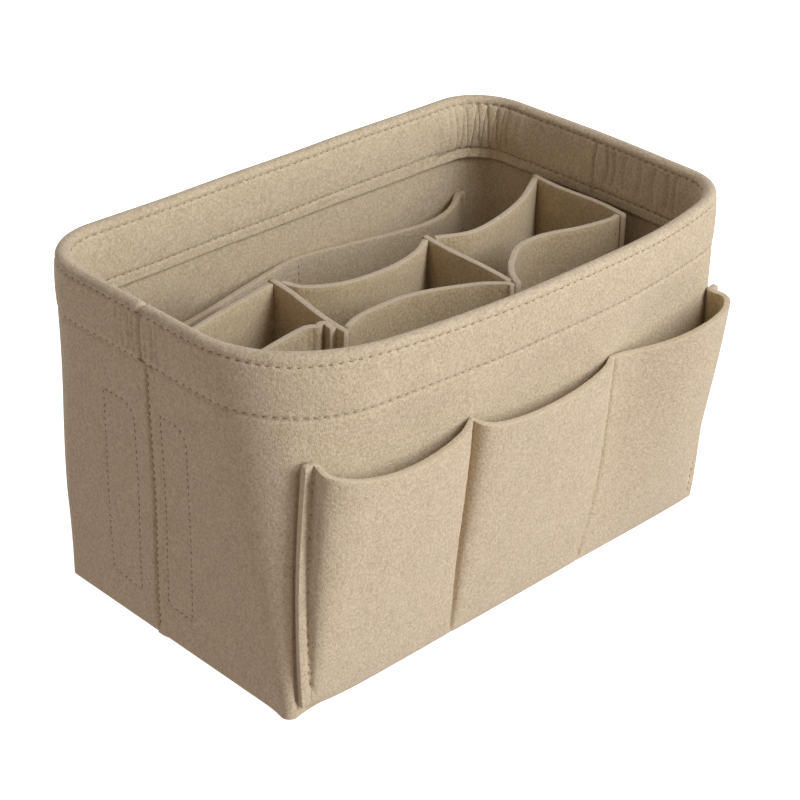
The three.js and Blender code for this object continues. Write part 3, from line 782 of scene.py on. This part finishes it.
def pocketLine(pocket, k, low, high, aside=0, hook=0):  # a sewn line of a pocket, through the middle of the felt
    share = np.linspace(low, high, pocketDetail["linePoints"])
    z = pocket["foot"] + (pocket["tops"][k] - pocket["foot"]) * share
    x = lineX(pocket, k, share) + aside + hook * np.exp(-((share - low) / pocketDetail["hookReach"]) ** 2)
    return sunkIn(pocket["side"], walk[pocket["side"]][0] * x, z, pocket["seat"])


# fastener strips: each outline has its rear and front edge, foot, top, corner round and the drop of its foot
strips = dict(rear=dict(y=32.5, width=19, outline=(8.3, -11.6, 19.2, 113.8, 8, 1.5)),
              front=dict(y=-4.3, width=16, outline=(7.6, -8.2, 19.2, 116.2, 8, 1.2)),
              foot=18, top=115, loop=2.4, hook=1.8, columns=12, levels=50, bendPoints=9)
loopSeat = felt + gap  # depths inside the shell's outline
hookSeat = loopSeat + strips["loop"] + gap
flangeSeat = hookSeat + strips["hook"] + gap

# compartment unit: cross walls, and panels that run between them through a few plan points
unitShape = dict(
    top=136, rightEndX=122.4, compartments=(89, 83), places=(3.2, -10, 5), turns=(2.5, 4.2, 8.3),
    ends=((-30.6, 28), (-28.6, 28.8), (-30.6, 27.4)), sways=(1.1, 0.5, -0.6), joint=0.7, footSpring=0.14,
    flangeBend=3, flangeColumns=14, bendPoints=6, stripMargin=1, columns=110, levels=46, wallPoints=31, curvePoints=25,
    runs=dict(rear_left=((-94, 19.9), (-72, 23.9)),
              front_left=((-90, -14.6), (-66, -11.3), (-60.3, -13.6)),
              rear_middle=((-39.5, 17), (-22.3, 7.9), (2.6, 5.4), (21.5, 8.9)),
              rear_right=((55, 6.9), (77, 8.9), (98, 15.6)),
              front_middle=((-41.3, -19.1), (-27.3, -18), (-14.1, -18.6), (-1.7, -22), (9.8, -27.2), (20.4, -32.7)),
              front_right=((39, -33), (48, -25), (60.8, -17.5), (76.7, -17.3), (95.7, -23.4), (112, -26.4))),
    seats=dict(rear_left=(None, 23.5), rear_middle=(22.8, 25), rear_right=(24.5, 25),
               front_middle=(-27.3, None), front_right=(None, -28.9)),
    curl=(-19, -25.5), pinch=((-30.2, 2.7), (-32.8, 1.75)),
    wrinkles=dict(fromEnd=12, width=7, wave=3.9, depth=0.3, drop=30))


def crossWall(x, y, turn, ends, sway):
    angle = -math.radians(turn)
    toRear = np.array([-math.sin(angle), math.cos(angle)])
    toRight = np.array([toRear[1], -toRear[0]])
    centre = np.array([x, y])
    share = np.linspace(0, 1, unitShape["wallPoints"])[:, None]
    line = centre + toRear * (ends[0] + (ends[1] - ends[0]) * share) + toRight * sway * np.sin(2 * math.pi * share)
    seat = lambda reach, face, off=felt / 2 + gap + unitShape["joint"]: centre + toRear * reach + toRight * face * off
    return dict(line=line, seat=seat)


wallX = np.cumsum([unitShape["rightEndX"], *(-width for width in unitShape["compartments"])])
rightEnd, rightDivider, leftDivider = (
    crossWall(*values) for values in zip(wallX, *(unitShape[key] for key in ("places", "turns", "ends", "sways"))))


def throughPoints(knots, count):  # an even walk along a smooth curve through a few plan points
    knots = np.array(knots, float)
    padded = np.vstack([2 * knots[0] - knots[1], knots, 2 * knots[-1] - knots[-2]])
    u = np.linspace(0, 1, unitShape["curvePoints"])[:-1, None]
    pieces = [0.5 * (2 * b + (c - a) * u + (2 * a - 5 * b + 4 * c - d) * u ** 2 + (3 * b - a - 3 * c + d) * u ** 3)
              for a, b, c, d in zip(padded, padded[1:], padded[2:], padded[3:])]
    return equalSteps(np.vstack([*pieces, knots[-1:]]), count + 1)


def springIn(line, z):  # the panels bow a little less towards the floor
    share = (walked(line) / walked(line)[-1])[:, None]
    chord = line[0] + (line[-1] - line[0]) * share
    return line + (chord - line) * unitShape["footSpring"] * (1 - z / unitShape["top"])


def leftEndLine(z, strip, margin, depth, count):
    middle, half = leanAt(strip["y"], z), strip["width"] / 2 + margin
    points, normals = onSide(left, -np.linspace(middle + half, middle - half, count + 1), z)
    return points - normals * depth


def unitGrid(lineAt):
    return np.array([raised(lineAt(z), z) for z in np.linspace(floorTop, unitShape["top"], unitShape["levels"])])


def unitPanel(start, run, end):
    knots = [*np.atleast_2d(start), *unitShape["runs"][run], *np.atleast_2d(end)]
    line = throughPoints(knots, unitShape["columns"])
    return unitGrid(lambda z: springIn(line, z))


def unitLeftPanel(strip, run, end, wrinkles=None):
    def lineAt(z):
        flange = leftEndLine(z, strip, unitShape["stripMargin"], flangeSeat + felt / 2, unitShape["flangeColumns"])
        corner, bend = flange[-1], unitShape["flangeBend"]
        start = corner + np.array([bend, -bend])
        curve, _ = onCurve(np.array([corner, [corner[0], start[1]], start]), np.linspace(0, 1, unitShape["bendPoints"]))
        path = throughPoints([start, *unitShape["runs"][run], *np.atleast_2d(end)], unitShape["columns"])
        path = springIn(path, z)
        if wrinkles:
            fromEnd = walked(path)[-1] - walked(path)
            window = np.exp(-((fromEnd - wrinkles["fromEnd"]) / wrinkles["width"]) ** 2)
            window *= wrinkles["depth"] * math.exp((z - unitShape["top"]) / wrinkles["drop"])
            slope = np.gradient(path, axis=0)
            aside = np.stack([-slope[:, 1], slope[:, 0]], 1) / np.linalg.norm(slope, axis=1, keepdims=True)
            path = path + aside * (window * np.sin(2 * math.pi * fromEnd / wrinkles["wave"]))[:, None]
        return np.concatenate([flange, curve[1:], path[1:]])

    return unitGrid(lineAt)


def stripGrid(strip, depth):
    return np.array([raised(leftEndLine(z, strip, 0, depth, strips["columns"]), z)
                     for z in np.linspace(strips["foot"], strips["top"], strips["levels"])])


# how deep and how wide the felt is pulled in along each line, and its stitch pitch, 0 where no thread shows
pulls = dict(
    rimRow=(0.75, 0.75, sewing["pitch"]), bandSeam=(2, 0.75, 0), bandInsideSeam=(1.1, 0.7, 0),
    bandFoot=(0.4, 0.8, 0), bandShadow=(1.5, 0.8, 0), wallSeam=(1.7, 0.75, 0), seamRow=(0.3, 0.6, 3.6),
    stripOutline=(0.5, 0.7, 3.4), flangeEdge=(1.8, 1, 0), division=(1.5, 0.8, 0), leftPocket=(1.5, 0.9, 3.6),
    rightPocket=(0.5, 0.8, 3.6), rearPocketEnd=(0.5, 0.7, 3.6), rearDivision=(0.4, 0.7, 3.6),
    rearPocketFold=(0.5, 0.7, 0), unitEnd=(0.8, 0.8, 3.6))


def pulled(kind, path, thread=None, outward=1):
    return thread, path, outward, *pulls[kind]


def planSewing():  # for each piece: the thread it shows, the path, which face, and how it pulls there
    lines = {}
    depth = 2 * (felt + gap / 2) - felt / 2
    level = lambda z: ((0, z), (farEnd, z))
    for half, piece, below in ((front, "front_rim_felt", "front_wall_felt"), (rear, "rear_rim_felt", "rear_wall_felt")):
        clear = gap if half == front else -gap
        foot = bandRow(half, felt / 2, level(wallTop + band["footRow"]))
        z = np.linspace(*band["insideSeam"], band["insideSeamPoints"])
        insideSeam = sunkIn(right, band["rightSeamY"] - clear, z, depth)
        rows = (("rim_stitches_outside", bandRow(half, felt / 2, band["outsideRow"][half])),
                ("rim_stitches_outside", foot),
                ("rim_stitches_inside", bandRow(half, depth, band["insideRow"][half])),
                ("rim_stitches_inside", bandRow(half, depth, band["edgeRow"][half])))
        lines[piece] = [pulled("rimRow", path, thread) for thread, path in rows]
        lines[piece] += [pulled("bandSeam", bandSeam(band["leftSeamY"] - clear)), pulled("bandInsideSeam", insideSeam)]
        for aside, fold, lean in band["seamCreases"][half]:
            away = aside if half == front else -aside
            crease = bandCrease(left, band["leftSeamY"] - away, lean, felt / 2)
            lines[piece].append((None, crease, 1, fold, band["seamCreaseWidth"], 0))
        shadow = bandRow(half, felt / 2, level(bandEdge - band["edgeShadow"]))
        lines[below] = [pulled("bandFoot", foot - np.array([0, 0, 2 * band["footRow"]])),
                        pulled("bandShadow", shadow, outward=-1),
                        pulled("wallSeam", seamPath(low=3, high=wallTop, aside=clear))]
    for aside, fold, lean in band["endCreases"]:
        crease = bandCrease(right, band["rightSeamY"] - aside, lean, depth)
        lines["front_rim_felt"].append((None, crease, 1, fold, band["endCreaseWidth"], 0))
    flangeEdge = pocketLine(frontPockets, 0, low=0.06, high=0.98, aside=-frontPockets["flange"] - gap)
    seamRow = seamPath(low=5, high=wallTop - 3, aside=1.8)
    lines["front_wall_felt"] += [pulled("flangeEdge", flangeEdge),
                                 pulled("stripOutline", outlinePath(strips["front"]), "strip_stitches"),
                                 pulled("seamRow", seamRow, "seam_stitches")]
    lines["rear_wall_felt"] += [pulled("stripOutline", outlinePath(strips["rear"]), "strip_stitches")]
    lines["front_pocket_felt"] = [
        *(pulled("division", pocketLine(frontPockets, k, low=0.01, high=1)) for k in (1, 2)),
        pulled("leftPocket", pocketLine(frontPockets, 0, low=0.08, high=1, hook=3), "pocket_stitches"),
        pulled("rightPocket", pocketLine(frontPockets, 3, low=0.03, high=0.97, aside=1), "pocket_stitches")]
    rearLine = lambda k, aside: pocketLine(rearPocket, k, low=0.03, high=0.97, aside=aside)
    lines["rear_pocket_felt"] = [pulled("rearPocketEnd", rearLine(0, -1), "pocket_stitches", outward=-1),
                                 pulled("rearDivision", rearLine(1, 0), "pocket_stitches", outward=-1),
                                 pulled("rearPocketFold", rearLine(2, 1), outward=-1)]
    return lines


def unitPanels():
    seats = unitShape["seats"]
    curl = [leftDivider["seat"](reach, -1, felt + gap) for reach in unitShape["curl"]]
    pinch = {face: [rightDivider["seat"](reach, face, off) for reach, off in unitShape["pinch"]] for face in (-1, 1)}
    between = lambda run, first, last: unitPanel(first["seat"](seats[run][0], 1), run, last["seat"](seats[run][1], -1))
    return dict(
        rear_left=unitLeftPanel(strips["rear"], "rear_left", leftDivider["seat"](seats["rear_left"][1], -1)),
        rear_middle=between("rear_middle", leftDivider, rightDivider),
        rear_right=between("rear_right", rightDivider, rightEnd),
        front_left=unitLeftPanel(strips["front"], "front_left", curl, unitShape["wrinkles"]),
        front_middle=unitPanel(leftDivider["seat"](seats["front_middle"][0], 1), "front_middle", pinch[-1]),
        front_right=unitPanel(pinch[1][::-1], "front_right", rightEnd["seat"](seats["front_right"][1], -1)))


def addSheet(name, node, body, grid, held, restsOn, sewn, **looks):
    flat = cutSize(grid)
    sewn = [(thread, settle(path), *pull) for thread, path, *pull in sewn]
    sheetObject(name, node, body, settle(grid), flat, held, restsOn, sewn=sewn, **looks)
    print(name, "cut", [round(size, 1) for size in flat])


def addPieces():
    sewnLines = planSewing()
    shellSheets = [
        ("front_wall_felt", "front_wall_panel", wallGrid(front), "folded", ["base_panel"], wall),
        ("rear_wall_felt", "rear_wall_panel", wallGrid(rear), "folded", ["base_panel"], wall),
        ("front_rim_felt", "front_rim_band", bandGrid(front), "folded", ["front_wall_felt"], band),
        ("rear_rim_felt", "rear_rim_band", bandGrid(rear), "folded", ["rear_wall_felt"], band),
        ("front_pocket_felt", "front_pocket_panel", pocketGrid(frontPockets), "gathered", ["front_wall_felt"], shell),
        ("rear_pocket_felt", "rear_inner_pocket_panel", pocketGrid(rearPocket), "gathered", ["rear_wall_felt"], shell),
    ]
    for name, node, grid, held, restsOn, sizes in shellSheets:
        addSheet(name, node, "shell", grid, held, restsOn, sewnLines[name], edgeRound=sizes["edgeRound"])
    unitSheets = [(f"unit_{place}_felt", "unit_{}_panel_{}".format(*place.split("_")), grid)
                  for place, grid in unitPanels().items()]
    unitSheets += [("unit_right_end_felt", "unit_right_end_wall", unitGrid(lambda z: rightEnd["line"])),
                   ("unit_divider_right_felt", "unit_divider_right", unitGrid(lambda z: rightDivider["line"])),
                   ("unit_divider_left_felt", "unit_divider_left", unitGrid(lambda z: leftDivider["line"]))]
    for name, node, grid in unitSheets:
        sewn = []
        if name == "unit_front_right_felt":  # sewn to the end wall a little way in from its edge
            sewn = [pulled("unitEnd", grid[2:, -4], "unit_stitches")]
        # the unit's pieces take the felt copy that carries the painted warm interior shade
        addSheet(name, node, "compartment_unit", grid, "stretched", ["base_panel"], sewn, face=feltInnerShadeTint)
    for where in ("rear", "front"):
        strip = strips[where]
        size = (strip["width"], strips["top"] - strips["foot"])
        for kind, body, seat, restsOn in (("loop", "shell", loopSeat, ["front_wall_felt", "rear_wall_felt"]),
                                          ("hook", "compartment_unit", hookSeat, [f"unit_{where}_left_felt"])):
            grid = settle(stripGrid(strip, seat + strips[kind] / 2))
            sheetObject(f"{where}_{kind}_tape", f"{where}_{kind}_strip", body, grid, size, "stretched", restsOn,
                        strips[kind], stripWeave, stripWeave, "fastener_strip")


def addBase():
    bm = bmesh.new()
    bmesh.ops.create_grid(bm, x_segments=1, y_segments=1, size=1)
    inset = felt + shell["baseClear"]  # sewn up to the walls
    size = Vector((shell["baseLength"] / 2 - inset, shell["baseDepth"] / 2 - inset, 1))
    bmesh.ops.scale(bm, vec=size * mm, verts=bm.verts)
    bmesh.ops.bevel(bm, geom=bm.verts[:], offset=shell["baseCorner"] * mm, segments=4, profile=0.5, affect="VERTICES",
                    material=-1)
    bmesh.ops.translate(bm, vec=(0, 0, felt / 2 * mm), verts=bm.verts)
    piece = thickSheet("base_felt", bm, felt, feltFace, feltCutWithHighlight)
    finishSheet(piece, "base_panel", "shell", shell["edgeRound"])


addBase()
addPieces()
print("felt cut and folded")
threadObjects()
print("sewn:", sum(len(places) for places in sewnRows.values()), "stitches")
